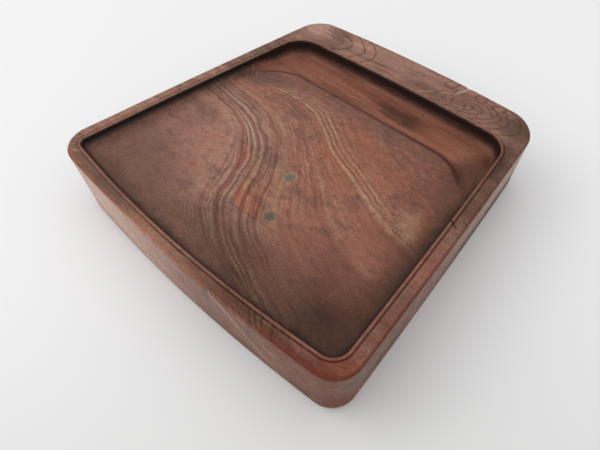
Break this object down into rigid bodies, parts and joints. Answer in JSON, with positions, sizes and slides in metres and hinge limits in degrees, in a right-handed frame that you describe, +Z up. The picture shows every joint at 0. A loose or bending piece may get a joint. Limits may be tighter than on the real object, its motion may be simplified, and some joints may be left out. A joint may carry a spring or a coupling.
{
  "type": "inkstone",
  "caption": "Trapezoid slab inkstone with rounded corners, a level grinding ground, a deeper ink pool at the head, and a rim with a thin bead around the basin.",
  "frame": {"origin": "middle of the flat underside", "axes": "+Z up out of the basin, +Y from the foot edge towards the ink pool and wide head rim, +X to the right when the foot edge is nearest"},
  "size_m": [0.179, 0.1692, 0.0335],
  "materials": {
    "stone": "banded red-brown stone, polished on the outer walls and honed on top"
  },
  "bodies": {
    "root": {"inkstone": "stone"}
  },
  "joints": []
}
